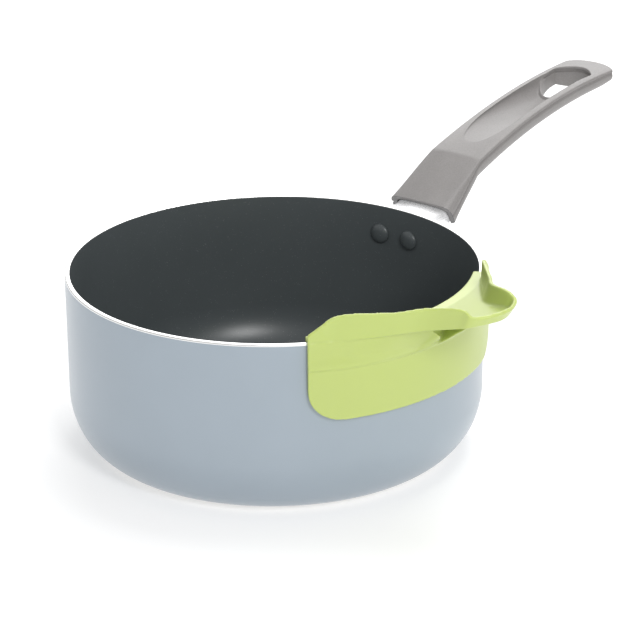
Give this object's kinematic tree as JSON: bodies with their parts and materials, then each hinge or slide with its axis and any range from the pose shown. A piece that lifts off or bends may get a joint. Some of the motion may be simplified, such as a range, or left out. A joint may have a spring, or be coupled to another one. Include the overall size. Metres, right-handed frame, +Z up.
{
  "type": "saucepan with clip-on pour spout",
  "caption": "Straight-sided non-stick saucepan with a long moulded handle, riveted bracket and a clip-on plastic pour spout on its rim.",
  "frame": {"origin": "centre of the base plate's underside, on the surface the pan stands on", "axes": "+X along the handle, away from the pan; +Z up"},
  "size_m": [0.3819, 0.246, 0.1217],
  "materials": {
    "pan_body": "blue-grey enamel outside, dark speckled non-stick inside, bare polished rim and base edge",
    "base_plate": "circular brushed",
    "rivet": "dome coated with the non-stick, tail bare",
    "bracket": "satin cast",
    "guard": "polished",
    "handle": "warm grey, fine matt texture",
    "screw": "satin",
    "spout": "lime green, satin moulded"
  },
  "bodies": {
    "pan": {"pan_body": "pan_body", "base_plate": "base_plate", "rivet_left": "rivet", "rivet_right": "rivet", "handle_bracket": "bracket", "flame_guard": "guard", "handle": "handle", "handle_screw": "screw"},
    "spout": {"pour_spout": "spout"}
  },
  "joints": [
    {"name": "spout_lift", "type": "slide", "parent": "pan", "child": "spout", "axis": [0, 0, 1], "range_m": [0, 0.06]}
  ]
}
